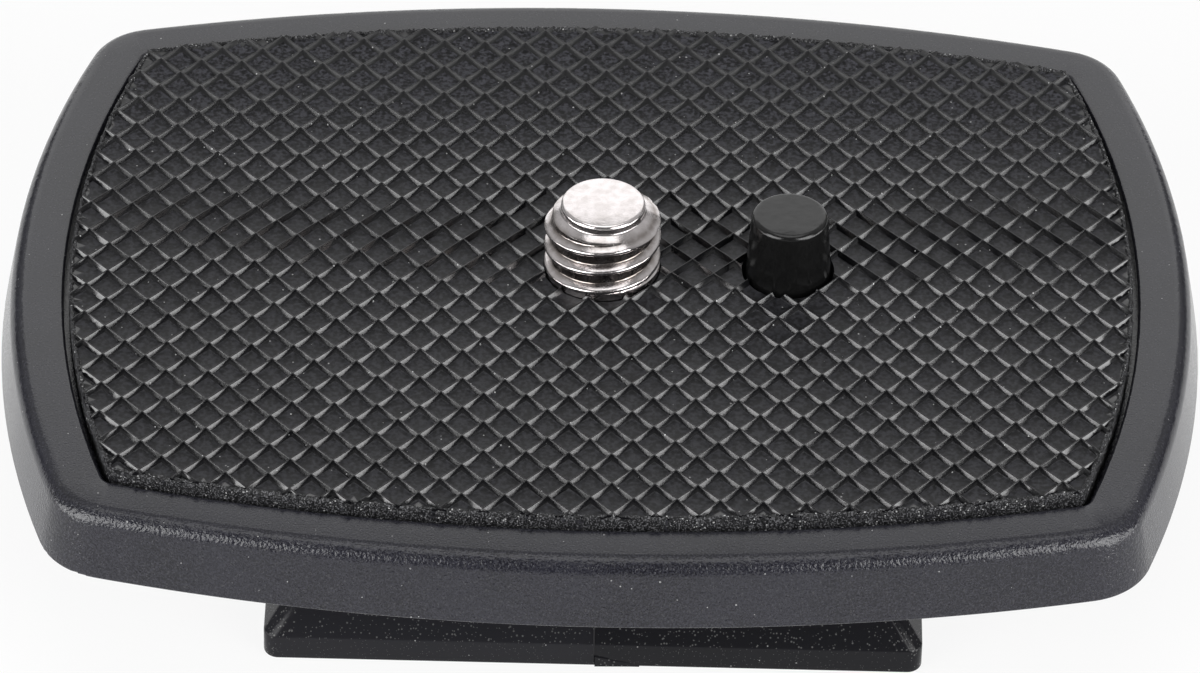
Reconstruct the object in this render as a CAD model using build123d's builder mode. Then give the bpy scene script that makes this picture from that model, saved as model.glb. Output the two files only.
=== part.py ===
from build123d import *
import math
import os

os.makedirs("parts", exist_ok=True)

# Tripod quick release plate, in millimetres. The origin is on the screw's axis at the bottom of the foot,
# +Z points up to the camera and +X towards the anti-twist pin.

# Plate: a barrel-sided slab, widest at its lower edge
plate_width = 65.1
plate_depth = 51.1
side_bow = 4.05
end_bow = 3.65
corner_radius = 4.25
plate_thickness = 3.85
wall_draft = 10.0
rim_edge_radius = 1.0
lower_edge_radius = 0.12
rim_width = 3.45
recess_depth = 1.05
recess_edge_radius = 0.2
web_thickness = 2.0

# Foot: a square dovetail, hollow from below
foot_width = 35.3
foot_land = 1.5
dovetail_height = 3.6
dovetail_angle = 38.0
neck_height = 4.15
foot_corner_radius = 0.8
foot_edge_radius = 0.2
foot_wall = 1.8
hollow_corner_radius = 1.2
rib_thickness = 1.4

# Rubber pad: diamond pits between sharp ridges, which cross once near the screw's axis
pad_thickness = 1.8
pad_clearance = 0.33
cell_width = 2.26
cell_depth = 2.43
ridge_height = 0.32
pit_floor_share = 0.76
crossing_x = 0.38
crossing_y = 0.46
pad_screw_clearance = 0.2
pad_pin_clearance = 0.12

# Camera screw: quarter-inch thread, plain neck, flange and slotted hub
thread_radius = 3.175
screw_protrusion = 4.0
thread_start_depth = 0.4
thread_start_chamfer = 0.3
tip_radius = 2.3
tip_height = 0.85
neck_radius = 2.6
flange_radius = 5.2
flange_thickness = 1.4
hub_radius = 4.2
hub_recess = 0.3
coin_slot_width = 1.6
coin_slot_depth = 1.2
screw_hole_clearance = 0.2
screw_end_play = 0.1
boss_height = 4.1
boss_radius = 6.2

# Retaining clip in a groove of the screw's neck
clip_radius = 4.65
clip_thickness = 0.7
clip_band = 1.1
clip_mouth = 4.4
clip_prong_width = 1.6
clip_groove_radius = 2.0
clip_radial_clearance = 0.05
clip_seat_clearance = 0.35
clip_play = 0.1

# Folding wire ring on the hub
ring_wire_radius = 0.7
ring_half_width = 6.0
ring_pivot_height = 1.8
ring_pivot_depth = 1.4
ring_pivot_clearance = 0.05
ring_pivot_bend = 1.6
ring_far_bend = 3.6
ring_swing_clearance = 2.0

# Anti-twist pin with its spring and cap
pin_offset = 10.1
pin_protrusion = 3.45
pin_tip_radius = 2.07
pin_radius = 2.4
pin_tip_edge_radius = 0.3
pin_flange_radius = 3.1
pin_flange_thickness = 1.0
pin_bore_radius = 1.5
pin_bore_roof = 0.9
pin_clearance = 0.1
pin_flange_clearance = 0.15
pin_stop_gap = 0.05
pin_housing_bottom = 2.9
pin_housing_wall = 0.8
cap_radius = 3.5
cap_thickness = 1.2
cap_clearance = 0.03
cap_spigot_radius = 0.7
cap_spigot_height = 0.8
spring_radius = 1.1
spring_wire_radius = 0.2
spring_turns = 5
spring_seat_gap = 0.02

# Levels above the bottom of the foot
neck_level = foot_land + dovetail_height
plate_level = neck_level + neck_height
rim_level = plate_level + plate_thickness
recess_level = rim_level - recess_depth
web_level = recess_level - web_thickness
crest_level = recess_level + pad_thickness
boss_level = web_level - boss_height
tip_level = crest_level + screw_protrusion
pin_tip_level = crest_level + pin_protrusion
pin_bore_level = crest_level - pin_bore_roof
cap_level = pin_housing_bottom + cap_thickness
clip_seat_level = recess_level - clip_thickness - 2 * clip_play
clip_level = clip_seat_level + clip_play

# Widths that follow from the sizes above
neck_inset = dovetail_height * math.tan(math.radians(dovetail_angle))
screw_hole_radius = thread_radius + screw_hole_clearance
pin_hole_radius = pin_radius + pin_clearance
flange_bore_radius = pin_flange_radius + pin_flange_clearance
cap_seat_radius = cap_radius + cap_clearance
housing_radius = cap_seat_radius + pin_housing_wall


def barrel_outline(level, inset=0.0):
    """The plate's outline at a level: four bowed sides with round corners, drawn in by an inset."""
    x = plate_width / 2 - side_bow
    y = plate_depth / 2 - end_bow
    side_arc = (y ** 2 + side_bow ** 2) / (2 * side_bow)
    end_arc = (x ** 2 + end_bow ** 2) / (2 * end_bow)
    side_centre = Vector(plate_width / 2 - side_arc, 0)
    end_centre = Vector(0, plate_depth / 2 - end_arc)

    # The corner is where the two arcs, both drawn in, cross
    line = end_centre - side_centre
    along = ((side_arc - inset) ** 2 - (end_arc - inset) ** 2 + line.length ** 2) / (2 * line.length)
    across = math.sqrt((side_arc - inset) ** 2 - along ** 2)
    corner = side_centre + line * (along / line.length) + Vector(-line.Y, line.X) * (across / line.length)
    x, y = corner.X, corner.Y
    with BuildSketch(Plane.XY.offset(level), mode=Mode.PRIVATE) as outline:
        with BuildLine():
            ThreePointArc((-x, -y), (0, inset - plate_depth / 2), (x, -y))
            ThreePointArc((x, -y), (plate_width / 2 - inset, 0), (x, y))
            ThreePointArc((x, y), (0, plate_depth / 2 - inset), (-x, y))
            ThreePointArc((-x, y), (inset - plate_width / 2, 0), (-x, -y))
        make_face()
        fillet(outline.vertices(), max(corner_radius - inset, recess_edge_radius))
    return outline.sketch


def dovetail_form(inset, top_level, corner):
    """The foot's square form drawn in by an inset: an upright land, a sloping dovetail and an upright neck."""
    low = foot_width - 2 * inset
    high = low - 2 * neck_inset
    with BuildPart(mode=Mode.PRIVATE) as form:
        with BuildSketch():
            RectangleRounded(low, low, corner)
        extrude(amount=foot_land)
        with BuildSketch(Plane.XY.offset(foot_land)):
            RectangleRounded(low, low, corner)
        with BuildSketch(Plane.XY.offset(neck_level)):
            RectangleRounded(high, high, corner)
        loft(ruled=True)
        with BuildSketch(Plane.XY.offset(neck_level)):
            RectangleRounded(high, high, corner)
        extrude(amount=top_level - neck_level)
    return form.part


def ridged_slab():
    """A slab whose top is folded into diamond pits with flat floors, their sharp ridges at the crest level."""
    half_x = cell_width / 2
    half_y = cell_depth / 2
    reach_x = plate_width / 2 - rim_width + half_x
    reach_y = plate_depth / 2 - rim_width + half_y
    bottom = recess_level - pad_thickness
    columns = math.ceil(reach_x / half_x)
    rows = math.ceil(reach_y / half_y)
    cells = set()
    for i in range(-columns, columns + 1):
        bow = end_bow * (i * half_x / reach_x) ** 2
        for j in range(-rows, rows + 1):
            if (i + j) % 2 == 1 and abs(j * half_y) < reach_y - bow + cell_depth:
                cells.add((i, j))

    def corners(i, j, share, level):
        x = crossing_x + i * half_x
        y = crossing_y + j * half_y
        steps = [(1, 0), (0, 1), (-1, 0), (0, -1)]
        return [Vector(x + share * half_x * dx, y + share * half_y * dy, level) for dx, dy in steps]

    def flat(*points):
        return Face(Wire.make_polygon(points, close=True))

    faces = []
    for i, j in sorted(cells):
        crest = corners(i, j, 1.0, crest_level)
        floor = corners(i, j, pit_floor_share, crest_level - ridge_height)
        under = corners(i, j, 1.0, bottom)
        faces += [flat(*floor), flat(*under)]
        for n, (di, dj) in enumerate([(1, 1), (-1, 1), (-1, -1), (1, -1)]):
            m = (n + 1) % 4
            faces.append(flat(crest[n], crest[m], floor[m], floor[n]))
            if (i + di, j + dj) not in cells:
                faces.append(flat(crest[n], crest[m], under[m], under[n]))
    return Solid(Shell(faces))


foot_outside = dovetail_form(0.0, plate_level, foot_corner_radius)
foot_hollow = dovetail_form(foot_wall, web_level, hollow_corner_radius)
pad_slab = ridged_slab()

# Housing of the anti-twist pin, trimmed to the foot's form
with BuildPart() as pin_housing:
    with BuildSketch(Plane.XY.offset(pin_housing_bottom)):
        with Locations((pin_offset, 0)):
            Circle(housing_radius)
    extrude(amount=web_level - pin_housing_bottom)
    add(foot_outside, mode=Mode.INTERSECT)

# Plate and foot, one moulding
with BuildPart() as plate_body:
    draw_in = plate_thickness * math.tan(math.radians(wall_draft))
    loft([barrel_outline(plate_level), barrel_outline(plate_level + plate_thickness, draw_in)], ruled=True)
    fillet(plate_body.faces().sort_by(Axis.Z)[-1].edges(), rim_edge_radius)
    fillet(plate_body.faces().sort_by(Axis.Z)[0].edges(), lower_edge_radius)
    extrude(barrel_outline(recess_level, rim_width), amount=recess_depth, mode=Mode.SUBTRACT)
    rim_face = plate_body.faces().filter_by(Axis.Z).sort_by(Axis.Z)[-1]
    fillet(rim_face.inner_wires()[0].edges(), recess_edge_radius)

    add(foot_outside)
    fillet(plate_body.faces().sort_by(Axis.Z)[0].edges(), foot_edge_radius)
    land_edges = plate_body.edges().filter_by_position(Axis.Z, foot_land, foot_land)
    fillet(land_edges, foot_edge_radius)
    add(foot_hollow, mode=Mode.SUBTRACT)

    # Boss that the screw's flange bears on, with ribs to the foot's walls
    neck_room = foot_width / 2 - foot_wall - neck_inset
    with BuildSketch(Plane.XY.offset(boss_level)):
        Circle(boss_radius)
        Rectangle(2 * neck_room, rib_thickness)
        Rectangle(rib_thickness, 2 * neck_room)
    extrude(amount=boss_height)

    add(pin_housing.part)

    # Hole for the screw, with a seat for its clip under the pad
    with BuildSketch(Plane.XY.offset(boss_level)):
        Circle(screw_hole_radius)
    extrude(amount=recess_level - boss_level, mode=Mode.SUBTRACT)
    with BuildSketch(Plane.XY.offset(clip_seat_level)):
        Circle(clip_radius + clip_seat_clearance)
    extrude(amount=recess_level - clip_seat_level, mode=Mode.SUBTRACT)

    # Stepped bore for the pin, its flange and the cap
    for level, radius, top in [
        (web_level, pin_hole_radius, recess_level),
        (cap_level, flange_bore_radius, web_level),
        (pin_housing_bottom, cap_seat_radius, cap_level),
    ]:
        with BuildSketch(Plane.XY.offset(level)):
            with Locations((pin_offset, 0)):
                Circle(radius)
        extrude(amount=top - level, mode=Mode.SUBTRACT)
plate_body.part.label = "plate_body"
export_step(plate_body.part, "parts/plate_body.step")

# Rubber pad, cut from the ridged slab to the recess
with BuildPart() as rubber_pad:
    with BuildSketch(Plane.XY.offset(recess_level)):
        add(barrel_outline(0.0, rim_width + pad_clearance))
        Circle(thread_radius + pad_screw_clearance, mode=Mode.SUBTRACT)
        with Locations((pin_offset, 0)):
            Circle(pin_radius + pad_pin_clearance, mode=Mode.SUBTRACT)
    extrude(amount=pad_thickness + ridge_height)
    add(pad_slab, mode=Mode.INTERSECT)
rubber_pad.part.label = "rubber_pad"
export_step(rubber_pad.part, "parts/rubber_pad.step")

# Camera screw
flange_top = boss_level - screw_end_play
flange_bottom = flange_top - flange_thickness
thread_start = crest_level - thread_start_depth
with BuildPart() as camera_screw:
    with BuildSketch(Plane.XZ):
        with BuildLine():
            Polyline(
                (0, hub_recess),
                (hub_radius, hub_recess),
                (hub_radius, flange_bottom),
                (flange_radius, flange_bottom),
                (flange_radius, flange_top),
                (neck_radius, flange_top),
                (neck_radius, clip_level - clip_play / 2),
                (clip_groove_radius, clip_level - clip_play / 2),
                (clip_groove_radius, clip_level + clip_thickness + clip_play / 2),
                (neck_radius, clip_level + clip_thickness + clip_play / 2),
                (neck_radius, thread_start),
                (thread_radius, thread_start + thread_start_chamfer),
                (thread_radius, tip_level - tip_height),
                (tip_radius, tip_level),
                (0, tip_level),
                close=True,
            )
        make_face()
    revolve(axis=Axis.Z)
    with BuildSketch(Plane.XY.offset(hub_recess)):
        Rectangle(2 * hub_radius, coin_slot_width)
    extrude(amount=coin_slot_depth, mode=Mode.SUBTRACT)
    for side in (1, -1):
        hole_plane = Plane((0, side * hub_radius, ring_pivot_height), z_dir=(0, -side, 0))
        with BuildSketch(hole_plane):
            Circle(ring_wire_radius + ring_pivot_clearance)
        extrude(amount=ring_pivot_depth + ring_pivot_clearance, mode=Mode.SUBTRACT)
    hub_rim = camera_screw.edges().filter_by(GeomType.CIRCLE).filter_by_position(Axis.Z, hub_recess, hub_recess)
    chamfer(hub_rim, hub_recess)
camera_screw.part.label = "camera_screw"
export_step(camera_screw.part, "parts/camera_screw.step")

# Retaining clip: an open band with three prongs that reach into the groove
prong_radius = clip_groove_radius + clip_radial_clearance
with BuildPart() as screw_clip:
    with BuildSketch(Plane.XY.offset(clip_level)):
        Circle(clip_radius)
        Circle(clip_radius - clip_band, mode=Mode.SUBTRACT)
        with Locations((-clip_radius, 0)):
            Rectangle(2 * clip_radius, clip_mouth, mode=Mode.SUBTRACT)
        with PolarLocations((prong_radius + clip_radius - clip_band / 2) / 2, 3, start_angle=-90, angular_range=180,
                            endpoint=True):
            Rectangle(clip_radius - clip_band / 2 - prong_radius, clip_prong_width)
        Circle(prong_radius, mode=Mode.SUBTRACT)
    extrude(amount=clip_thickness)
screw_clip.part.label = "screw_clip"
export_step(screw_clip.part, "parts/screw_clip.step")

# Folding ring: bent wire whose ends turn in the hub, folded flat towards -X
swing_radius = foot_width / 2 - foot_wall - ring_swing_clearance - ring_wire_radius
ring_reach = math.sqrt(swing_radius ** 2 - ring_half_width ** 2)
ring_end = hub_radius - ring_pivot_depth
with BuildPart() as d_ring:
    with BuildLine(Plane.XY.offset(ring_pivot_height)) as ring_path:
        FilletPolyline(
            (0, ring_end),
            (0, ring_half_width),
            (-ring_reach, ring_half_width),
            (-ring_reach, -ring_half_width),
            (0, -ring_half_width),
            (0, -ring_end),
            radius=[ring_pivot_bend, ring_far_bend, ring_far_bend, ring_pivot_bend],
        )
    with BuildSketch(Plane((0, ring_end, ring_pivot_height), z_dir=(0, 1, 0))):
        Circle(ring_wire_radius)
    sweep()
d_ring.part.label = "d_ring"
export_step(d_ring.part, "parts/d_ring.step")

# Anti-twist pin: hollow from below, with a flange that stops it under the web
pin_flange_top = web_level - pin_stop_gap
pin_flange_bottom = pin_flange_top - pin_flange_thickness
with BuildPart() as anti_twist_pin:
    with BuildSketch(Plane.XZ):
        with BuildLine():
            Polyline(
                (0, pin_bore_level),
                (pin_bore_radius, pin_bore_level),
                (pin_bore_radius, pin_flange_bottom),
                (pin_flange_radius, pin_flange_bottom),
                (pin_flange_radius, pin_flange_top),
                (pin_radius, pin_flange_top),
                (pin_radius, recess_level),
                (pin_tip_radius, pin_tip_level),
                (0, pin_tip_level),
                close=True,
            )
        make_face()
    revolve(axis=Axis.Z)
    fillet(anti_twist_pin.faces().sort_by(Axis.Z)[-1].edges(), pin_tip_edge_radius)
anti_twist_pin.part.label = "anti_twist_pin"
anti_twist_pin.part.position = (pin_offset, 0, 0)
export_step(anti_twist_pin.part, "parts/anti_twist_pin.step")

# Pin spring: a plain coil between the cap and the roof of the pin's bore
spring_bottom = cap_level + spring_wire_radius + spring_seat_gap
spring_top = pin_bore_level - spring_wire_radius - spring_seat_gap
spring_height = spring_top - spring_bottom
with BuildPart() as pin_spring:
    with BuildLine(Plane((pin_offset, 0, spring_bottom))) as coil:
        Helix(pitch=spring_height / spring_turns, height=spring_height, radius=spring_radius)
    with BuildSketch(Plane(coil.line @ 0, z_dir=coil.line % 0)):
        Circle(spring_wire_radius)
    sweep(is_frenet=True)
pin_spring.part.label = "pin_spring"
export_step(pin_spring.part, "parts/pin_spring.step")

# Spring cap: a round plug with a spigot that centres the spring
with BuildPart() as spring_cap:
    with BuildSketch(Plane.XY.offset(pin_housing_bottom)):
        with Locations((pin_offset, 0)):
            Circle(cap_radius)
    extrude(amount=cap_thickness)
    with BuildSketch(Plane.XY.offset(cap_level)):
        with Locations((pin_offset, 0)):
            Circle(cap_spigot_radius)
    extrude(amount=cap_spigot_height)
spring_cap.part.label = "spring_cap"
export_step(spring_cap.part, "parts/spring_cap.step")
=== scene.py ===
import math

import bmesh
import bpy
from mathutils import Matrix, Vector, noise


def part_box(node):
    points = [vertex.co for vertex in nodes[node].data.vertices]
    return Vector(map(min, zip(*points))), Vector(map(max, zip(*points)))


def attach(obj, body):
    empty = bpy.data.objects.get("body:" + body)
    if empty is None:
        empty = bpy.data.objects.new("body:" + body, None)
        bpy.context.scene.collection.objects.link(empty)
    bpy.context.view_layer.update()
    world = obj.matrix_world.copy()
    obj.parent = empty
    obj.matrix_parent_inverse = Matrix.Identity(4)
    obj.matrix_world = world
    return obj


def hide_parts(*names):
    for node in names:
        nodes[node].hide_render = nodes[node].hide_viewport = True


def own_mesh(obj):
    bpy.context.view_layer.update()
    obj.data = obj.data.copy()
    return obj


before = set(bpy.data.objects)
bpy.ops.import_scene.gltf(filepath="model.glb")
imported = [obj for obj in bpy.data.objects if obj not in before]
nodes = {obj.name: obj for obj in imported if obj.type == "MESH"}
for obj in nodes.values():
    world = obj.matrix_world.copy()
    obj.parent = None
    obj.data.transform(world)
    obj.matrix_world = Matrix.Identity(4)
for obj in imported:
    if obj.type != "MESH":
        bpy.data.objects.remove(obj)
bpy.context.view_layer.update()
MM = 0.001
WELD = 0.0005 * MM  # seams of CAD meshes closer than this are joined
NOISE_SEED = 1  # without it, noise_vector starts from the clock and differs each run

# Photograph: 1200 pixels wide, long lens, looking down along +Y
IMAGE_WIDTH = 1200
FOCAL_PIXELS = 8900
SENSOR = 36.0
CAMERA_TARGET = Vector((-0.006, -6.652, 13.85)) * MM
CAMERA_DISTANCE = 477.2 * MM
CAMERA_ELEVATION = math.radians(38.0)
CAMERA_YAW = math.radians(-0.1)
CAMERA_ROLL = math.radians(1.289)
CAMERA_REACH = 20

# Outlines of the plate and the pad, as in the CAD model
PLATE_WIDTH = 65.1 * MM
PLATE_DEPTH = 51.1 * MM
SIDE_BOW = 4.05 * MM
END_BOW = 3.65 * MM
PAD_INSET = 3.78 * MM
PLATE_LEVEL = 9.25 * MM

# Pad lattice: the two diagonals of a cell, as measured, and the ridge crossing next to the screw
CELL_ACROSS = Vector((2.261, -0.018)) * MM
CELL_ALONG = Vector((-0.056, 2.436)) * MM
CROSSING = Vector((0.38, 0.46)) * MM
SCREW_HOLE = 3.2 * MM
PIN_HOLE = 2.52 * MM
HOLE_STEPS = 160
HOLE_TORN = 0.012
HOLE_TORN_SIZE = 0.4 * MM
PIN_OFFSET = 10.1 * MM

# One pit from its ridge to its floor: (share of the cell's size, depth)
PIT_PROFILE = [
    (1.0, 0.0),
    (0.98, 0.003 * MM),
    (0.965, 0.016 * MM),
    (0.952, 0.04 * MM),
    (0.876, 0.159 * MM),
    (0.80, 0.278 * MM),
    (0.786, 0.298 * MM),
    (0.764, 0.312 * MM),
    (0.72, 0.32 * MM),
]
PIT_SIDE_STEPS = 3
PIT_UNEVEN = 0.012 * MM
UNEVEN_FINE = 1.7 * MM
UNEVEN_BROAD = 9 * MM
CREST_SUNK = 0.03 * MM  # keeps the uneven ridges under the CAD pad's top
SLAB_MARGIN = 1.2 * CELL_ALONG.y

# The pad's cut: how far the cutters reach past it, how its sides are torn, and how
# its ridges are worn down along the edge
CUT_MARGIN = 0.3 * MM
CUT_STEPS = 2000
CUT_LEVELS = 13
CUT_ROUGH = 0.1 * MM
CUT_INWARD = 0.6
CUT_FINE_SIZE = 0.22 * MM
CUT_COARSE_SIZE = 0.9 * MM
CUT_COARSE_SHARE = 0.8
WORN_EDGE = 0.2 * MM
WORN_SHARE = 0.8
WORN_DEPTH = 0.1  # mm
WORN_RAGGED = 0.08  # mm
WORN_RAGGED_SIZE = 0.35 * MM

# Torn band along the pad's cut edge: (inset from the pad's outline, depth under the crest)
TORN_PROFILE = [
    (0.0, 1.5 * MM),
    (0.0, 0.75 * MM),
    (0.0, 0.45 * MM),
    (0.02 * MM, 0.22 * MM),
    (0.07 * MM, 0.14 * MM),
    (0.14 * MM, 0.12 * MM),
    (0.21 * MM, 0.18 * MM),
    (0.32 * MM, 0.5 * MM),
]
TORN_STEPS = 2400
TORN_FINE = 0.07 * MM
TORN_FINE_SIZE = 0.15 * MM
TORN_COARSE = 0.06 * MM
TORN_COARSE_SIZE = 0.6 * MM
TORN_BELOW_CREST = 0.01 * MM

# Mould marks on the foot's front: a parting line, and a lip of flash beside it
PARTING_LINE = 0.06 * MM
PARTING_WIDTH = 0.05 * MM
PARTING_PROUD = 0.035 * MM
PARTING_LIFT = 0.5
FLANK_PATH = [(-15.3, 4.55), (-17.62, 1.6), (-17.66, 1.4), (-17.66, 0.15)]  # (y, z) in mm
LIP_LENGTH = 2.4 * MM
LIP_HEIGHT = 0.8 * MM
LIP_END_HEIGHT = 0.12 * MM
LIP_BEND = 0.8
LIP_PROUD = 0.09 * MM
LIP_TAPER = 0.8
LIP_SUNK = 0.02 * MM
LIP_BEVEL = 0.07 * MM
LIP_UNDER = 0.06 * MM
LIP_BOTTOM = 0.03 * MM
LIP_STEPS = 16

# Camera screw: its thread, flat tip and plain shank, and where it takes over from the CAD neck
THREAD_RADIUS = 3.175 * MM
ROOT_RADIUS = 2.745 * MM
PITCH = 1.27 * MM
CREST_HALF = 0.09 * MM
THREAD_ROUND = 0.05 * MM
NECK_RADIUS = 2.6 * MM
NECK_SUNK = 0.02 * MM
NECK_CUT = 13.2 * MM
NECK_OVERLAP = 0.3 * MM
RUNOUT = 0.4 * MM
TIP_RADIUS = 2.28 * MM
TIP_EDGE = 0.22 * MM
TIP_EDGE_STEPS = 6
TIP_STEP = 0.5 * MM
TIP_SLOPE = 0.55 * MM
CREST_BELOW_TIP = 1.22 * MM
SHANK_RADIUS = 3.14 * MM
SHANK_BELOW_TIP = 3.88 * MM
SHANK_SLOPE = 2.0
THREAD_TURN_STEPS = 120
THREAD_RISE_STEPS = 130

# Largest radius of a speck of dust on the plate and the pad
DUST_RADIUS = 0.055 * MM

# Stage: (name, place, width, height, brightness, where 1 is white) of each soft light
SOFTBOXES = [
    ("left_low_softbox", (-0.25, -0.09, 0.029), 0.24, 0.05, 7.0),
    ("right_low_softbox", (0.25, -0.09, 0.029), 0.24, 0.05, 7.0),
    ("left_softbox", (-0.18, -0.17, 0.125), 0.19, 0.16, 6.0),
    ("right_softbox", (0.18, -0.17, 0.125), 0.19, 0.16, 6.0),
    ("back_panel", (0, 0.15, 0.07), 0.2, 0.15, 1.0),
    ("top_softbox", (0, 0.02, 0.5), 0.35, 0.35, 1.5),
]
LIGHT_TARGET = Vector((0, 0, 13 * MM))
FLOOR_HALF = 3.0
FLOOR_PAPER = 0.9
FLOOR_WHITE = 0.88  # how much of the floor's look is plain white
STUDIO_DIM = 0.12
STUDIO_BRIGHT = 0.5
STUDIO_FILL = 0.12


# Helpers for meshes and nodes

def new_object(name, data):
    """An object in the scene that shows a mesh, a light or a camera."""
    made = bpy.data.objects.new(name, data)
    bpy.context.scene.collection.objects.link(made)
    return made


def mesh_from(name, vertices, faces):
    mesh = bpy.data.meshes.new(name)
    mesh.from_pydata(vertices, [], faces)
    mesh.validate()
    mesh.update()
    return mesh


def band(outer, inner):
    """Faces between two closed rows of vertices."""
    count = len(outer)
    faces = []
    for n in range(count):
        m = (n + 1) % count
        faces.append((outer[n], outer[m], inner[m], inner[n]))
    return faces


def welded_copy(name):
    """A bmesh of a CAD node's mesh, with its seams welded."""
    shape = bmesh.new()
    shape.from_mesh(nodes[name].data)
    bmesh.ops.remove_doubles(shape, verts=shape.verts, dist=WELD)
    return shape


def plain_mesh(name, shape):
    """A mesh from a bmesh, which is freed, without the CAD mesh's own normals."""
    mesh = bpy.data.meshes.new(name)
    shape.to_mesh(mesh)
    shape.free()
    if "custom_normal" in mesh.attributes:
        mesh.attributes.remove(mesh.attributes["custom_normal"])
    return mesh


def boolean(target, operation, cutter):
    """Changes a mesh by one boolean with a cutter, which is then deleted."""
    modifier = target.modifiers.new("cut", "BOOLEAN")
    modifier.operation = operation
    modifier.object = cutter
    modifier.solver = "MANIFOLD"
    graph = bpy.context.evaluated_depsgraph_get()
    result = bpy.data.meshes.new_from_object(target.evaluated_get(graph))
    target.modifiers.clear()
    target.data = result
    bpy.data.objects.remove(cutter)


def smooth(piece, angle):
    """Shades a piece smooth, keeping edges sharper than an angle in degrees."""
    piece.data.polygons.foreach_set("use_smooth", [True] * len(piece.data.polygons))
    piece.data.set_sharp_from_angle(angle=math.radians(angle))


def smoothing_group(sharpest):
    """Geometry nodes that weld a CAD mesh's seams and shade edges below an angle smooth."""
    group = bpy.data.node_groups.new("smooth_curves", "GeometryNodeTree")
    for direction in ("INPUT", "OUTPUT"):
        group.interface.new_socket("Geometry", in_out=direction, socket_type="NodeSocketGeometry")
    start = group.nodes.new("NodeGroupInput")
    end = group.nodes.new("NodeGroupOutput")
    bare = {"Geometry": start.outputs[0], "Name": "custom_normal"}
    plain = node(group, "GeometryNodeRemoveAttribute", bare)
    joined = {"Geometry": plain.outputs[0], "Distance": WELD}
    weld = node(group, "GeometryNodeMergeByDistance", joined)
    angle = group.nodes.new("GeometryNodeInputMeshEdgeAngle")
    compared = {0: angle.outputs[0], 1: math.radians(sharpest)}
    sharp = node(group, "FunctionNodeCompare", compared, operation="GREATER_THAN")
    curved = {0: weld.outputs[0], 2: True}
    faces = node(group, "GeometryNodeSetShadeSmooth", curved, domain="FACE")
    creased = {0: faces.outputs[0], 1: sharp.outputs[0], 2: False}
    edges = node(group, "GeometryNodeSetShadeSmooth", creased, domain="EDGE")
    group.links.new(edges.outputs[0], end.inputs[0])
    return group


def smooth_cad(piece, group):
    """Shades a CAD node's curves smooth and its flats flat, by modifiers alone."""
    curves = piece.modifiers.new("smooth_curves", "NODES")
    curves.node_group = group
    flats = piece.modifiers.new("flat_faces", "WEIGHTED_NORMAL")
    flats.mode = "FACE_AREA"
    flats.weight = 90
    flats.keep_sharp = True


def node(tree, kind, inputs=None, **settings):
    """Adds a node to a tree; an input that is a socket is linked, any other is set."""
    made = tree.nodes.new(kind)
    for key, value in settings.items():
        setattr(made, key, value)
    for key, value in (inputs or {}).items():
        if isinstance(value, bpy.types.NodeSocket):
            tree.links.new(value, made.inputs[key])
        else:
            made.inputs[key].default_value = value
    return made


def maths(tree, operation, a, b=0.0):
    return node(tree, "ShaderNodeMath", {0: a, 1: b}, operation=operation).outputs[0]


def times(tree, a, b):
    return maths(tree, "MULTIPLY", a, b)


def plus(tree, a, b):
    return maths(tree, "ADD", a, b)


def ramp(tree, value, low, high, start=0.0, end=1.0):
    """Maps a value smoothly from low..high to start..end."""
    inputs = {"Value": value, "From Min": low, "From Max": high, "To Min": start, "To Max": end}
    return node(tree, "ShaderNodeMapRange", inputs, interpolation_type="SMOOTHSTEP").outputs[0]


def mix_colour(tree, factor, a, b):
    return node(tree, "ShaderNodeMix", {0: factor, 6: a, 7: b}, data_type="RGBA").outputs[2]


def grey(level, tint=0.0):
    """A grey of a linear level, a little bluish for a positive tint."""
    return (level * (1 - tint), level * (1 - tint), level * (1 + tint), 1.0)


def object_coords(tree):
    return node(tree, "ShaderNodeTexCoord").outputs["Object"]


def noise_value(tree, coords, size, detail=2.0):
    """Noise whose blobs have about the given size in metres."""
    inputs = {"Vector": coords, "Scale": 1 / size, "Detail": detail}
    return node(tree, "ShaderNodeTexNoise", inputs).outputs[0]


def specks(tree, coords, spacing, size, share):
    """1 on scattered round specks of dust, 0 elsewhere; size is the largest radius."""
    cells = node(tree, "ShaderNodeTexVoronoi", {"Vector": coords, "Scale": 1 / spacing})
    pick = node(tree, "ShaderNodeSeparateColor", {"Color": cells.outputs["Color"]})
    chosen = maths(tree, "GREATER_THAN", pick.outputs[0], 1 - share)
    radius = times(tree, pick.outputs[1], size / spacing)
    inside = maths(tree, "LESS_THAN", cells.outputs["Distance"], radius)
    return times(tree, chosen, inside)


def new_material(name):
    material = bpy.data.materials.new(name)
    material.use_nodes = True
    return material, material.node_tree, material.node_tree.nodes["Principled BSDF"]


def bump(tree, height, distance, strength):
    inputs = {"Height": height, "Distance": distance, "Strength": strength}
    return node(tree, "ShaderNodeBump", inputs).outputs[0]


# Materials

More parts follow.
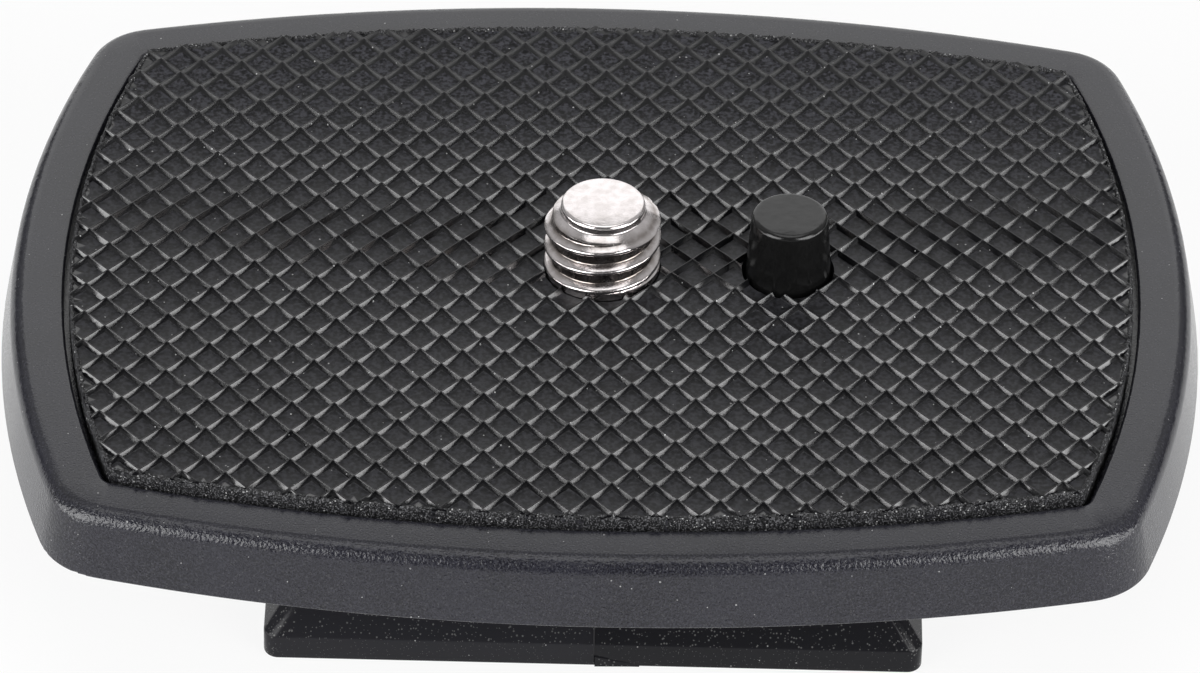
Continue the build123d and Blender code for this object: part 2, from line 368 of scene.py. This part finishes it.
def body_plastic():
    """Black moulded plastic: spark-eroded grain on the plate, coarser on its front and
    back edges, a smoother foot in two mould halves, and dust."""
    material, tree, shader = new_material("body_plastic")
    coords = object_coords(tree)
    axes = node(tree, "ShaderNodeSeparateXYZ", {"Vector": coords})
    on_plate = ramp(tree, axes.outputs[2], PLATE_LEVEL - 0.4 * MM, PLATE_LEVEL + 0.1 * MM)
    grain = noise_value(tree, coords, 0.11 * MM, 2.0)
    patches = noise_value(tree, coords, 6.0 * MM)
    cloudy = mix_colour(tree, ramp(tree, patches, 0.35, 0.65), grey(0.008, 0.2), grey(0.012, 0.2))
    speckled = mix_colour(tree, ramp(tree, grain, 0.35, 0.75), cloudy, grey(0.026, 0.14))
    right_half = ramp(tree, axes.outputs[0], PARTING_LINE - 0.05 * MM, PARTING_LINE + 0.05 * MM)
    foot = mix_colour(tree, right_half, grey(0.015, 0.08), grey(0.01, 0.08))
    plain = mix_colour(tree, on_plate, foot, speckled)
    dust = specks(tree, coords, 0.5 * MM, DUST_RADIUS, 0.3)
    powder = specks(tree, coords, 0.15 * MM, DUST_RADIUS, 0.8)
    on_foot = maths(tree, "SUBTRACT", 1.0, times(tree, on_plate, 0.8))
    powdered = mix_colour(tree, times(tree, powder, on_foot), plain, grey(0.085))
    tree.links.new(mix_colour(tree, dust, powdered, grey(0.22)), shader.inputs["Base Color"])
    tree.links.new(ramp(tree, on_plate, 0.0, 1.0, 0.15, 0.5), shader.inputs["Specular IOR Level"])
    tree.links.new(ramp(tree, grain, 0.3, 0.7, 0.12, 0.24), shader.inputs["Roughness"])
    depth = times(tree, grain, plus(tree, 0.35, times(tree, on_plate, 0.65)))
    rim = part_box("plate_body")[1].z
    off_top = ramp(tree, axes.outputs[2], rim - 0.01 * MM, rim - 0.12 * MM)
    at_ends = ramp(tree, maths(tree, "ABSOLUTE", axes.outputs[1]), 16 * MM, 20 * MM)
    coarse = times(tree, times(tree, off_top, at_ends), on_plate)
    coarse_grain = noise_value(tree, coords, 0.17 * MM, 2.0)
    sparks = times(tree, coarse_grain, times(tree, coarse, 5.0))
    relief = bump(tree, plus(tree, depth, sparks), 0.012 * MM, 0.8)
    tree.links.new(relief, shader.inputs["Normal"])
    return material


def pad_rubber():
    """Black rubber: matt pit floors, glossier walls, paler along the worn ridges, duller
    towards the back, with painted light making its mottle paler towards the back, and dust."""
    material, tree, shader = new_material("pad_rubber")
    coords = object_coords(tree)
    axes = node(tree, "ShaderNodeSeparateXYZ", {"Vector": coords})
    height = axes.outputs[2]
    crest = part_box("rubber_pad")[1].z
    worn = ramp(tree, height, crest - CREST_SUNK, crest - 0.005 * MM)
    floor = ramp(tree, height, crest - 0.3 * MM, crest - 0.33 * MM)
    grain = noise_value(tree, coords, 0.1 * MM, 3.0)
    patches = noise_value(tree, coords, 4.0 * MM)
    plain = mix_colour(tree, ramp(tree, patches, 0.35, 0.65), grey(0.004, 0.08), grey(0.006, 0.08))
    backward = ramp(tree, axes.outputs[1], 2.0 * MM, 22.0 * MM)
    # painted light: the mottle's pale colour is made paler towards the back, where the pad is lit
    # brighter
    mottle_and_painted_back_light = mix_colour(tree, backward, grey(0.028, 0.08), grey(0.065, 0.08))
    mottled = noise_value(tree, coords, 0.2 * MM, 3.0)
    speckled = mix_colour(tree, ramp(tree, mottled, 0.36, 0.66), grey(0.004, 0.1), mottle_and_painted_back_light)
    pits = mix_colour(tree, floor, plain, speckled)
    ridges = mix_colour(tree, worn, pits, grey(0.012, 0.05))
    matt = maths(tree, "MAXIMUM", floor, worn)
    dust = specks(tree, coords, 0.45 * MM, DUST_RADIUS, 0.4)
    tree.links.new(mix_colour(tree, dust, ridges, grey(0.35)), shader.inputs["Base Color"])
    tree.links.new(ramp(tree, matt, 0.0, 1.0, 0.6, 0.3), shader.inputs["Specular IOR Level"])
    fine = plus(tree, ramp(tree, grain, 0.3, 0.7, 0.11, 0.17), times(tree, backward, 0.24))
    tree.links.new(plus(tree, fine, times(tree, matt, 0.36)), shader.inputs["Roughness"])
    relief = times(tree, grain, ramp(tree, floor, 0.0, 1.0, 0.25, 1.0))
    tree.links.new(bump(tree, relief, 0.01 * MM, 0.7), shader.inputs["Normal"])
    return material


def torn_rubber():
    """Crumbly rubber along the pad's cut edge, with pale specks."""
    material, tree, shader = new_material("torn_rubber")
    coords = object_coords(tree)
    crumbs = noise_value(tree, coords, 0.09 * MM, 2.0)
    plain = mix_colour(tree, ramp(tree, crumbs, 0.48, 0.66), grey(0.006, 0.05), grey(0.1, 0.03))
    dust = specks(tree, coords, 0.2 * MM, 0.06 * MM, 0.6)
    tree.links.new(mix_colour(tree, dust, plain, grey(0.3)), shader.inputs["Base Color"])
    shader.inputs["Specular IOR Level"].default_value = 0.3
    tree.links.new(ramp(tree, crumbs, 0.3, 0.7, 0.4, 0.65), shader.inputs["Roughness"])
    tree.links.new(bump(tree, crumbs, 0.035 * MM, 0.9), shader.inputs["Normal"])
    return material


def screw_metal():
    """Bright nickel plating with fine marks and stains, and painted shade, brownish, in the
    thread's roots.
    """
    bright = (0.74, 0.7, 0.7, 1)
    stained = (0.6, 0.56, 0.55, 1)
    painted_root_shade = (0.16, 0.13, 0.11, 1)
    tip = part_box("camera_screw")[1].z
    material, tree, shader = new_material("screw_metal")
    coords = object_coords(tree)
    axes = node(tree, "ShaderNodeSeparateXYZ", {"Vector": coords})
    x_squared = maths(tree, "POWER", axes.outputs[0], 2.0)
    y_squared = maths(tree, "POWER", axes.outputs[1], 2.0)
    radius = maths(tree, "SQRT", plus(tree, x_squared, y_squared))
    # painted shade: a brownish dark laid into the thread's roots below the tip
    root = ramp(tree, radius, THREAD_RADIUS - 0.1 * MM, ROOT_RADIUS)
    below_tip = ramp(tree, axes.outputs[2], tip - 0.6 * MM, tip - 0.9 * MM)
    painted_root_shade_mask = times(tree, root, below_tip)
    stains = noise_value(tree, coords, 0.5 * MM, 4.0)
    marks = noise_value(tree, coords, 0.08 * MM, 2.0)
    shine = mix_colour(tree, ramp(tree, stains, 0.3, 0.75), bright, stained)
    painted_root_shade_share = times(tree, painted_root_shade_mask, ramp(tree, stains, 0.2, 0.6, 0.35, 0.8))
    tree.links.new(mix_colour(tree, painted_root_shade_share, shine, painted_root_shade), shader.inputs["Base Color"])
    shader.inputs["Metallic"].default_value = 1.0
    tree.links.new(ramp(tree, marks, 0.3, 0.7, 0.12, 0.24), shader.inputs["Roughness"])
    wavy = plus(tree, times(tree, stains, 6.0), marks)
    tree.links.new(bump(tree, wavy, 0.003 * MM, 0.6), shader.inputs["Normal"])
    return material


def pin_plastic():
    """Black satin plastic of the pin and the spring's cap, with shallow dents."""
    material, tree, shader = new_material("pin_plastic")
    coords = object_coords(tree)
    grain = noise_value(tree, coords, 0.1 * MM, 3.0)
    dust = specks(tree, coords, 0.9 * MM, 0.05 * MM, 0.25)
    dents = noise_value(tree, coords, 0.6 * MM, 2.0)
    plain = mix_colour(tree, ramp(tree, grain, 0.3, 0.7), grey(0.004), grey(0.006))
    tree.links.new(mix_colour(tree, dust, plain, grey(0.3)), shader.inputs["Base Color"])
    shader.inputs["Specular IOR Level"].default_value = 0.42
    tree.links.new(ramp(tree, grain, 0.3, 0.7, 0.14, 0.24), shader.inputs["Roughness"])
    lumpy = plus(tree, times(tree, dents, 8.0), grain)
    tree.links.new(bump(tree, lumpy, 0.004 * MM, 0.6), shader.inputs["Normal"])
    return material


def wire_steel():
    """Drawn steel wire of the ring and the spring, with streaks along Z and faint stains."""
    bright = (0.62, 0.61, 0.6, 1)
    stained = (0.45, 0.43, 0.41, 1)
    material, tree, shader = new_material("wire_steel")
    coords = object_coords(tree)
    squeezed = {"Vector": coords, "Scale": (1.0, 1.0, 0.15)}
    stretched = node(tree, "ShaderNodeMapping", squeezed).outputs[0]
    streaks = noise_value(tree, stretched, 0.09 * MM, 3.0)
    stains = noise_value(tree, coords, 1.2 * MM, 3.0)
    shine = mix_colour(tree, ramp(tree, stains, 0.35, 0.7), bright, stained)
    tree.links.new(shine, shader.inputs["Base Color"])
    shader.inputs["Metallic"].default_value = 1.0
    tree.links.new(ramp(tree, streaks, 0.3, 0.7, 0.2, 0.38), shader.inputs["Roughness"])
    tree.links.new(bump(tree, streaks, 0.005 * MM, 0.5), shader.inputs["Normal"])
    return material


def clip_steel():
    """Spring steel with a black oxide finish, rubbed a little in patches."""
    oxide = (0.035, 0.034, 0.033, 1)
    bare = (0.09, 0.086, 0.08, 1)
    material, tree, shader = new_material("clip_steel")
    coords = object_coords(tree)
    rubbed = noise_value(tree, coords, 0.6 * MM, 4.0)
    colour = mix_colour(tree, ramp(tree, rubbed, 0.45, 0.75), oxide, bare)
    tree.links.new(colour, shader.inputs["Base Color"])
    shader.inputs["Metallic"].default_value = 1.0
    tree.links.new(ramp(tree, rubbed, 0.3, 0.7, 0.5, 0.35), shader.inputs["Roughness"])
    tree.links.new(bump(tree, rubbed, 0.006 * MM, 0.5), shader.inputs["Normal"])
    return material


# Rubber pad

def barrel_arcs():
    """The radii of the plate's bowed sides and ends."""
    x = PLATE_WIDTH / 2 - SIDE_BOW
    y = PLATE_DEPTH / 2 - END_BOW
    return (y ** 2 + SIDE_BOW ** 2) / (2 * SIDE_BOW), (x ** 2 + END_BOW ** 2) / (2 * END_BOW)


def barrel_corner(inset):
    """The corner of the plate's outline drawn in by an inset, and the two arcs that meet there."""
    side_arc, end_arc = barrel_arcs()
    side_centre = Vector((PLATE_WIDTH / 2 - side_arc, 0))
    end_centre = Vector((0, PLATE_DEPTH / 2 - end_arc))
    line = end_centre - side_centre
    side = side_arc - inset
    end = end_arc - inset
    along = (side ** 2 - end ** 2 + line.length ** 2) / (2 * line.length)
    across = math.sqrt(side ** 2 - along ** 2)
    normal = Vector((-line.y, line.x))
    corner = side_centre + line * (along / line.length) + normal * (across / line.length)
    return corner, side_centre, end_centre


def barrel_points(inset, steps):
    """Points round the plate's outline drawn in by an inset, starting at its right side."""
    corner, side_centre, end_centre = barrel_corner(inset)
    side_turn = math.atan2(corner.y, corner.x - side_centre.x)
    end_turn = math.atan2(corner.x, corner.y - end_centre.y)
    side = (corner - side_centre).length
    end = (corner - end_centre).length
    quarter = []
    side_steps = round(steps / 4 * side * side_turn / (side * side_turn + end * end_turn))
    for i in range(side_steps):
        turn = side_turn * i / side_steps
        quarter.append(Vector((side_centre.x + side * math.cos(turn), side * math.sin(turn))))
    end_steps = round(steps / 4) - side_steps
    for i in range(end_steps):
        turn = end_turn * (1 - i / end_steps)
        quarter.append(Vector((end * math.sin(turn), end_centre.y + end * math.cos(turn))))
    mirrored = [Vector((-p.x, p.y)) for p in reversed(quarter[1:])]
    half = quarter + [Vector((0, PLATE_DEPTH / 2 - inset))] + mirrored
    return half + [-p for p in half]


def edge_distance(x, y):
    """How far a point lies inside the pad's outline."""
    side_arc, end_arc = barrel_arcs()
    side = side_arc - math.hypot(abs(x) - (PLATE_WIDTH / 2 - side_arc), y)
    end = end_arc - math.hypot(x, abs(y) - (PLATE_DEPTH / 2 - end_arc))
    return min(side, end) - PAD_INSET


def cell_place(i, j):
    """A place on the lattice, counted in half diagonals from the crossing."""
    return CROSSING + CELL_ACROSS * (i / 2) + CELL_ALONG * (j / 2)


def pad_cells():
    """The middles of all pits that the pad's outline can reach, on the lattice."""
    columns = math.ceil(PLATE_WIDTH / CELL_ACROSS.x)
    rows = math.ceil(PLATE_DEPTH / CELL_ALONG.y)
    cells = set()
    for i in range(-columns, columns + 1):
        for j in range(-rows, rows + 1):
            place = cell_place(i, j)
            near = edge_distance(place.x, place.y) > -SLAB_MARGIN
            if (i + j) % 2 == 1 and near:
                cells.add((i, j))
    return cells


def uneven(place, crest):
    """A place on the pad's top moved as in soft rubber, and worn down along the edge."""
    worn = 1 - min(1.0, max(0.0, edge_distance(place.x, place.y) / WORN_EDGE))
    place = place + noise.noise_vector(place / UNEVEN_FINE) * PIT_UNEVEN
    place += noise.noise_vector(place / UNEVEN_BROAD) * PIT_UNEVEN * 2
    ragged = WORN_DEPTH + WORN_RAGGED * noise.noise(place / WORN_RAGGED_SIZE)
    place.z += (crest - ragged * MM - place.z) * worn * WORN_SHARE
    return place


def pit_slab(bottom, crest):
    """A closed slab over more than the pad's area, its top folded into diamond pits."""
    cells = pad_cells()
    vertices = []
    faces = []
    shared = {}
    compass = [(1, 0), (0, 1), (-1, 0), (0, -1)]
    neighbours = [(1, 1), (-1, 1), (-1, -1), (1, -1)]
    outline = []
    for (ax, ay), (bx, by) in zip(compass, compass[1:] + compass[:1]):
        for step in range(PIT_SIDE_STEPS):
            t = step / PIT_SIDE_STEPS
            outline.append((ax + (bx - ax) * t, ay + (by - ay) * t))

    def vertex(i, j, z):
        flat = cell_place(i, j)
        place = Vector((flat.x, flat.y, z))
        vertices.append(uneven(place, crest) if z > bottom else place)
        return len(vertices) - 1

    def shared_vertex(i, j, z):
        """A vertex on the cells' borders, the same one for all cells that meet there."""
        key = (round(i * PIT_SIDE_STEPS), round(j * PIT_SIDE_STEPS), z)
        if key not in shared:
            shared[key] = vertex(i, j, z)
        return shared[key]

    for i, j in sorted(cells):
        rings = [[shared_vertex(i + dx, j + dy, crest) for dx, dy in outline]]
        for share, depth in PIT_PROFILE[1:]:
            z = crest - depth
            rings.append([vertex(i + share * dx, j + share * dy, z) for dx, dy in outline])
        under = [shared_vertex(i + dx, j + dy, bottom) for dx, dy in outline]
        for outer, inner in zip(rings, rings[1:]):
            faces += band(outer, inner)
        middle = vertex(i, j, crest - PIT_PROFILE[-1][1])
        middle_under = vertex(i, j, bottom)
        count = len(outline)
        for n in range(count):
            m = (n + 1) % count
            faces.append((rings[-1][n], rings[-1][m], middle))
            faces.append((under[m], under[n], middle_under))
        for side, (di, dj) in enumerate(neighbours):
            if (i + di, j + dj) not in cells:
                for n in range(side * PIT_SIDE_STEPS, (side + 1) * PIT_SIDE_STEPS):
                    m = (n + 1) % count
                    faces.append((rings[0][m], rings[0][n], under[n], under[m]))
    return mesh_from("pit_slab", vertices, faces)


def rough_prism(low, high):
    """The pad's outline as a block whose sides are torn like die-cut rubber."""
    outline = barrel_points(PAD_INSET, CUT_STEPS)
    vertices = []
    faces = []
    count = len(outline)
    for level in range(CUT_LEVELS):
        z = low + (high - low) * level / (CUT_LEVELS - 1)
        for point in outline:
            place = Vector((point.x, point.y, z))
            torn = noise.noise(place / CUT_FINE_SIZE)
            torn += CUT_COARSE_SHARE * noise.noise(place / CUT_COARSE_SIZE)
            inward = -place.xy.normalized() * CUT_ROUGH * (CUT_INWARD + torn)
            vertices.append((place.x + inward.x, place.y + inward.y, z))
    for first in range(0, (CUT_LEVELS - 1) * count, count):
        faces += band(range(first, first + count), range(first + count, first + 2 * count))
    faces.append(tuple(reversed(range(count))))
    faces.append(tuple(range((CUT_LEVELS - 1) * count, CUT_LEVELS * count)))
    return new_object("pad_cutter", mesh_from("pad_cutter", vertices, faces))


def round_cutter(x, radius, low, high):
    """A round cutter for a punched hole, a little torn."""
    vertices = []
    for z in (low, high):
        for n in range(HOLE_STEPS):
            turn = 2 * math.pi * n / HOLE_STEPS
            place = Vector((x + radius * math.cos(turn), radius * math.sin(turn), z))
            torn = 1 + HOLE_TORN * noise.noise(place / HOLE_TORN_SIZE)
            edge = radius * torn
            vertices.append((x + edge * math.cos(turn), edge * math.sin(turn), z))
    lower = range(HOLE_STEPS)
    upper = range(HOLE_STEPS, 2 * HOLE_STEPS)
    faces = band(lower, upper) + [tuple(reversed(lower)), tuple(upper)]
    return new_object("hole_cutter", mesh_from("hole_cutter", vertices, faces))


def make_pad():
    """The pad with rounded, slightly uneven ridges, cut to its outline and its two holes."""
    low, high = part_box("rubber_pad")
    above = high.z + CUT_MARGIN
    below = low.z - CUT_MARGIN
    pad = new_object("ridged_pad", pit_slab(below, high.z - CREST_SUNK))
    boolean(pad, "INTERSECT", rough_prism(low.z, above))
    boolean(pad, "DIFFERENCE", round_cutter(0, SCREW_HOLE, below, above))
    boolean(pad, "DIFFERENCE", round_cutter(PIN_OFFSET, PIN_HOLE, below, above))
    smooth(pad, angle=40)
    pad.data.materials.clear()
    pad.data.materials.append(pad_rubber())
    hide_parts("rubber_pad")
    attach(pad, "plate")


def make_torn_edge():
    """A ribbon of torn rubber along the pad's cut edge, where the ridges run out."""
    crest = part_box("rubber_pad")[1].z - CREST_SUNK
    outline = barrel_points(PAD_INSET, TORN_STEPS)
    count = len(outline)
    width = len(TORN_PROFILE)
    vertices = []
    faces = []
    for n, point in enumerate(outline):
        along = outline[(n + 1) % count] - outline[n - 1]
        inward = Vector((-along.y, along.x)).normalized()
        for inset, depth in TORN_PROFILE:
            flat = point + inward * inset
            place = Vector((flat.x, flat.y, crest - depth))
            fine = noise.noise_vector(place / TORN_FINE_SIZE) * TORN_FINE
            coarse = noise.noise_vector(place / TORN_COARSE_SIZE) * TORN_COARSE
            rough = fine + coarse
            rough.z = min(rough.z, depth - TORN_BELOW_CREST)
            vertices.append(place + rough)
        here = n * width
        ahead = (n + 1) % count * width
        for k in range(width - 1):
            faces.append((here + k, ahead + k, ahead + k + 1, here + k + 1))
    edge = new_object("torn_edge", mesh_from("torn_edge", vertices, faces))
    smooth(edge, angle=60)
    edge.data.materials.append(torn_rubber())
    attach(edge, "plate")


# Mould marks

def make_mould_marks(plastic):
    """The parting line down the foot's front, and the lip of flash at its lower end."""
    vertices = []
    faces = []
    for y, z in FLANK_PATH:
        for side, proud in ((-1, 0.0), (0, PARTING_PROUD), (1, 0.0)):
            x = PARTING_LINE + side * PARTING_WIDTH
            vertices.append((x, y * MM - proud, z * MM + proud * PARTING_LIFT))
    for n in range(len(FLANK_PATH) - 1):
        for a in (3 * n, 3 * n + 1):
            faces.append((a, a + 3, a + 4, a + 1))
    start = len(vertices)
    face = FLANK_PATH[-1][0] * MM
    for n in range(LIP_STEPS + 1):
        share = n / LIP_STEPS
        x = PARTING_LINE + PARTING_WIDTH + LIP_LENGTH * share
        top = LIP_END_HEIGHT + (LIP_HEIGHT - LIP_END_HEIGHT) * (1 - share) ** LIP_BEND
        proud = LIP_PROUD * (1 - share)
        vertices.append((x, face + LIP_SUNK, top))
        vertices.append((x, face - proud, top - LIP_BEVEL))
        vertices.append((x, face - proud * LIP_TAPER, LIP_UNDER))
        vertices.append((x, face + LIP_SUNK, LIP_BOTTOM))
    for n in range(LIP_STEPS):
        for k in range(3):
            a = start + 4 * n + k
            faces.append((a, a + 1, a + 5, a + 4))
    faces.append(tuple(range(start + 3, start - 1, -1)))
    marks = new_object("mould_marks", mesh_from("mould_marks", vertices, faces))
    smooth(marks, angle=50)
    marks.data.materials.append(plastic)
    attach(marks, "plate")


# Camera screw and spring

def soft_positive(value, width):
    """The value where positive and 0 elsewhere, with a soft bend."""
    return (value + math.sqrt(value ** 2 + width ** 2)) / 2


def thread_radius(turn, below_tip):
    """The threaded end's radius at an angle and a depth below the tip: 60 degree flanks,
    cut back by the tip's cone above and filled by the plain shank below."""
    rise = below_tip - CREST_BELOW_TIP + PITCH * (turn + math.pi / 2) / (2 * math.pi)
    from_crest = abs((rise / PITCH + 0.5) % 1.0 - 0.5) * PITCH
    depth = THREAD_RADIUS - ROOT_RADIUS
    drop = soft_positive((from_crest - CREST_HALF) * math.sqrt(3), THREAD_ROUND)
    threaded = ROOT_RADIUS + soft_positive(depth - drop, THREAD_ROUND)
    if below_tip < TIP_EDGE:
        lift = TIP_EDGE - below_tip
        cone = TIP_RADIUS - TIP_EDGE + math.sqrt(max(TIP_EDGE ** 2 - lift ** 2, 0.0))
    elif below_tip < TIP_STEP:
        cone = TIP_RADIUS
    else:
        cone = TIP_RADIUS + (below_tip - TIP_STEP) * (THREAD_RADIUS - TIP_RADIUS) / TIP_SLOPE
    shank = SHANK_RADIUS - max(0.0, SHANK_BELOW_TIP - below_tip) * SHANK_SLOPE
    return min(max(threaded, shank), cone)


def threaded_end(tip, bottom):
    """A closed mesh of the screw's end, from its flat tip down into the plain neck."""
    vertices = []
    faces = []
    span = tip - bottom
    levels = []
    for n in range(TIP_EDGE_STEPS):
        levels.append(TIP_EDGE * (1 - math.cos(math.pi / 2 * n / TIP_EDGE_STEPS)))
    for n in range(THREAD_RISE_STEPS + 1):
        levels.append(TIP_EDGE + (span - TIP_EDGE) * n / THREAD_RISE_STEPS)
    for below in levels:
        runout = min(1.0, max(0.0, (span - below) / RUNOUT))
        for n in range(THREAD_TURN_STEPS):
            turn = 2 * math.pi * n / THREAD_TURN_STEPS
            radius = thread_radius(turn, below)
            radius = NECK_RADIUS - NECK_SUNK + (radius - NECK_RADIUS + NECK_SUNK) * runout
            vertices.append((radius * math.cos(turn), radius * math.sin(turn), tip - below))
    count = THREAD_TURN_STEPS
    last = (len(levels) - 1) * count
    for a in range(0, last, count):
        b = a + count
        for n in range(count):
            m = (n + 1) % count
            faces.append((a + n, b + n, b + m, a + m))
    faces.append(tuple(range(count)))
    faces.append(tuple(reversed(range(last, last + count))))
    return new_object("threaded_end", mesh_from("threaded_end", vertices, faces))


def make_screw():
    """The CAD screw cut off in its neck, with a real thread above."""
    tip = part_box("camera_screw")[1].z
    shape = welded_copy("camera_screw")
    everything = shape.verts[:] + shape.edges[:] + shape.faces[:]
    bmesh.ops.bisect_plane(
        shape, geom=everything, plane_co=(0, 0, NECK_CUT), plane_no=(0, 0, 1), clear_outer=True,
    )
    bmesh.ops.contextual_create(shape, geom=[e for e in shape.edges if e.is_boundary])
    screw = new_object("threaded_screw", plain_mesh("threaded_screw", shape))
    boolean(screw, "UNION", threaded_end(tip, NECK_CUT - NECK_OVERLAP))
    smooth(screw, angle=35)
    screw.data.materials.clear()
    screw.data.materials.append(screw_metal())
    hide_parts("camera_screw")
    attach(screw, "screw")


def make_spring(steel):
    """The CAD spring as a piece of its own, welded, shaded smooth and in steel."""
    spring = new_object("coil_spring", plain_mesh("coil_spring", welded_copy("pin_spring")))
    smooth(spring, angle=35)
    spring.data.materials.clear()
    spring.data.materials.append(steel)
    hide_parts("pin_spring")
    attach(spring, "plate")
    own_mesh(spring)


# Stage: pale floor, soft lights and the photograph's camera

def seen_rays(tree):
    """1 for the camera's, glossy and transmission rays, which see a white floor."""
    rays = node(tree, "ShaderNodeLightPath").outputs
    seen = maths(tree, "MAXIMUM", rays["Is Camera Ray"], rays["Is Glossy Ray"])
    return maths(tree, "MAXIMUM", seen, rays["Is Transmission Ray"])


def make_floor():
    """A pale table that looks white from the camera and in reflections."""
    edge = FLOOR_HALF
    corners = [(-edge, -edge, 0), (edge, -edge, 0), (edge, edge, 0), (-edge, edge, 0)]
    floor = new_object("floor", mesh_from("floor", corners, [(0, 1, 2, 3)]))
    material = bpy.data.materials.new("floor_paper")
    material.use_nodes = True
    tree = material.node_tree
    tree.nodes.clear()
    paper = node(tree, "ShaderNodeBsdfDiffuse", {"Color": grey(FLOOR_PAPER)})
    white = node(tree, "ShaderNodeEmission", {"Color": grey(1.0), "Strength": 1.0})
    seen = times(tree, seen_rays(tree), FLOOR_WHITE)
    mixed = node(tree, "ShaderNodeMixShader", {0: seen, 1: paper.outputs[0], 2: white.outputs[0]})
    output = node(tree, "ShaderNodeOutputMaterial")
    tree.links.new(mixed.outputs[0], output.inputs["Surface"])
    floor.data.materials.append(material)


def make_world():
    """White behind the part, a dim fill for its light, and a studio in its reflections that
    is brighter high up and behind."""
    world = bpy.data.worlds.new("studio")
    bpy.context.scene.world = world
    world.use_nodes = True
    tree = world.node_tree
    tree.nodes.clear()
    direction = node(tree, "ShaderNodeTexCoord").outputs["Generated"]
    axes = node(tree, "ShaderNodeSeparateXYZ", {"Vector": direction})
    high = ramp(tree, axes.outputs[2], 0.1, 0.5)
    back = ramp(tree, axes.outputs[1], -0.35, 0.25)
    studio = mix_colour(tree, times(tree, high, back), grey(STUDIO_DIM), grey(STUDIO_BRIGHT))
    rays = node(tree, "ShaderNodeLightPath").outputs
    glossy = node(tree, "ShaderNodeBackground", {"Color": studio, "Strength": 1.0})
    white = node(tree, "ShaderNodeBackground", {"Color": grey(1.0), "Strength": 1.0})
    fill = node(tree, "ShaderNodeBackground", {"Color": grey(1.0), "Strength": STUDIO_FILL})
    seen = maths(tree, "MAXIMUM", rays["Is Camera Ray"], rays["Is Transmission Ray"])
    lit = {0: rays["Is Glossy Ray"], 1: fill.outputs[0], 2: glossy.outputs[0]}
    shiny = node(tree, "ShaderNodeMixShader", lit)
    shown = {0: seen, 1: shiny.outputs[0], 2: white.outputs[0]}
    mixed = node(tree, "ShaderNodeMixShader", shown)
    output = node(tree, "ShaderNodeOutputWorld")
    tree.links.new(mixed.outputs[0], output.inputs["Surface"])


def softbox(name, place, width, height, level):
    """A soft light that faces the part; the level is its brightness, where 1 is white."""
    light = bpy.data.lights.new(name, "AREA")
    light.shape = "RECTANGLE"
    light.size = width
    light.size_y = height
    light.energy = level * math.pi * width * height
    lamp = new_object(name, light)
    lamp.location = place
    lamp.visible_camera = False
    aim = LIGHT_TARGET - Vector(place)
    lamp.rotation_euler = aim.to_track_quat("-Z", "Y").to_euler()


def make_camera():
    """The photograph's camera: a long lens that looks down, turned and rolled a little."""
    ahead = Vector((
        math.sin(CAMERA_YAW) * math.cos(CAMERA_ELEVATION),
        math.cos(CAMERA_YAW) * math.cos(CAMERA_ELEVATION),
        -math.sin(CAMERA_ELEVATION),
    ))
    level = Vector((math.cos(CAMERA_YAW), -math.sin(CAMERA_YAW), 0))
    upright = level.cross(ahead)
    right = math.cos(CAMERA_ROLL) * level + math.sin(CAMERA_ROLL) * upright
    up = right.cross(ahead)
    camera = new_object("camera", bpy.data.cameras.new("camera"))
    camera.data.sensor_width = SENSOR
    camera.data.lens = FOCAL_PIXELS / IMAGE_WIDTH * SENSOR
    camera.data.clip_end = CAMERA_REACH
    turn = Matrix((right, up, -ahead)).transposed().to_4x4()
    camera.matrix_world = Matrix.Translation(CAMERA_TARGET - CAMERA_DISTANCE * ahead) @ turn
    bpy.context.scene.camera = camera


noise.seed_set(NOISE_SEED)
make_pad()
make_torn_edge()
make_screw()
curves = smoothing_group(sharpest=25)
steel = wire_steel()
black = pin_plastic()
body = body_plastic()
make_mould_marks(body)
make_spring(steel)
for name, material in [
    ("plate_body", body),
    ("anti_twist_pin", black),
    ("spring_cap", black),
    ("screw_clip", clip_steel()),
    ("d_ring", steel),
]:
    nodes[name].data.materials.clear()
    nodes[name].data.materials.append(material)
    smooth_cad(nodes[name], curves)

make_floor()
make_world()
for box in SOFTBOXES:
    softbox(*box)
make_camera()
bpy.context.scene.view_settings.view_transform = "Standard"
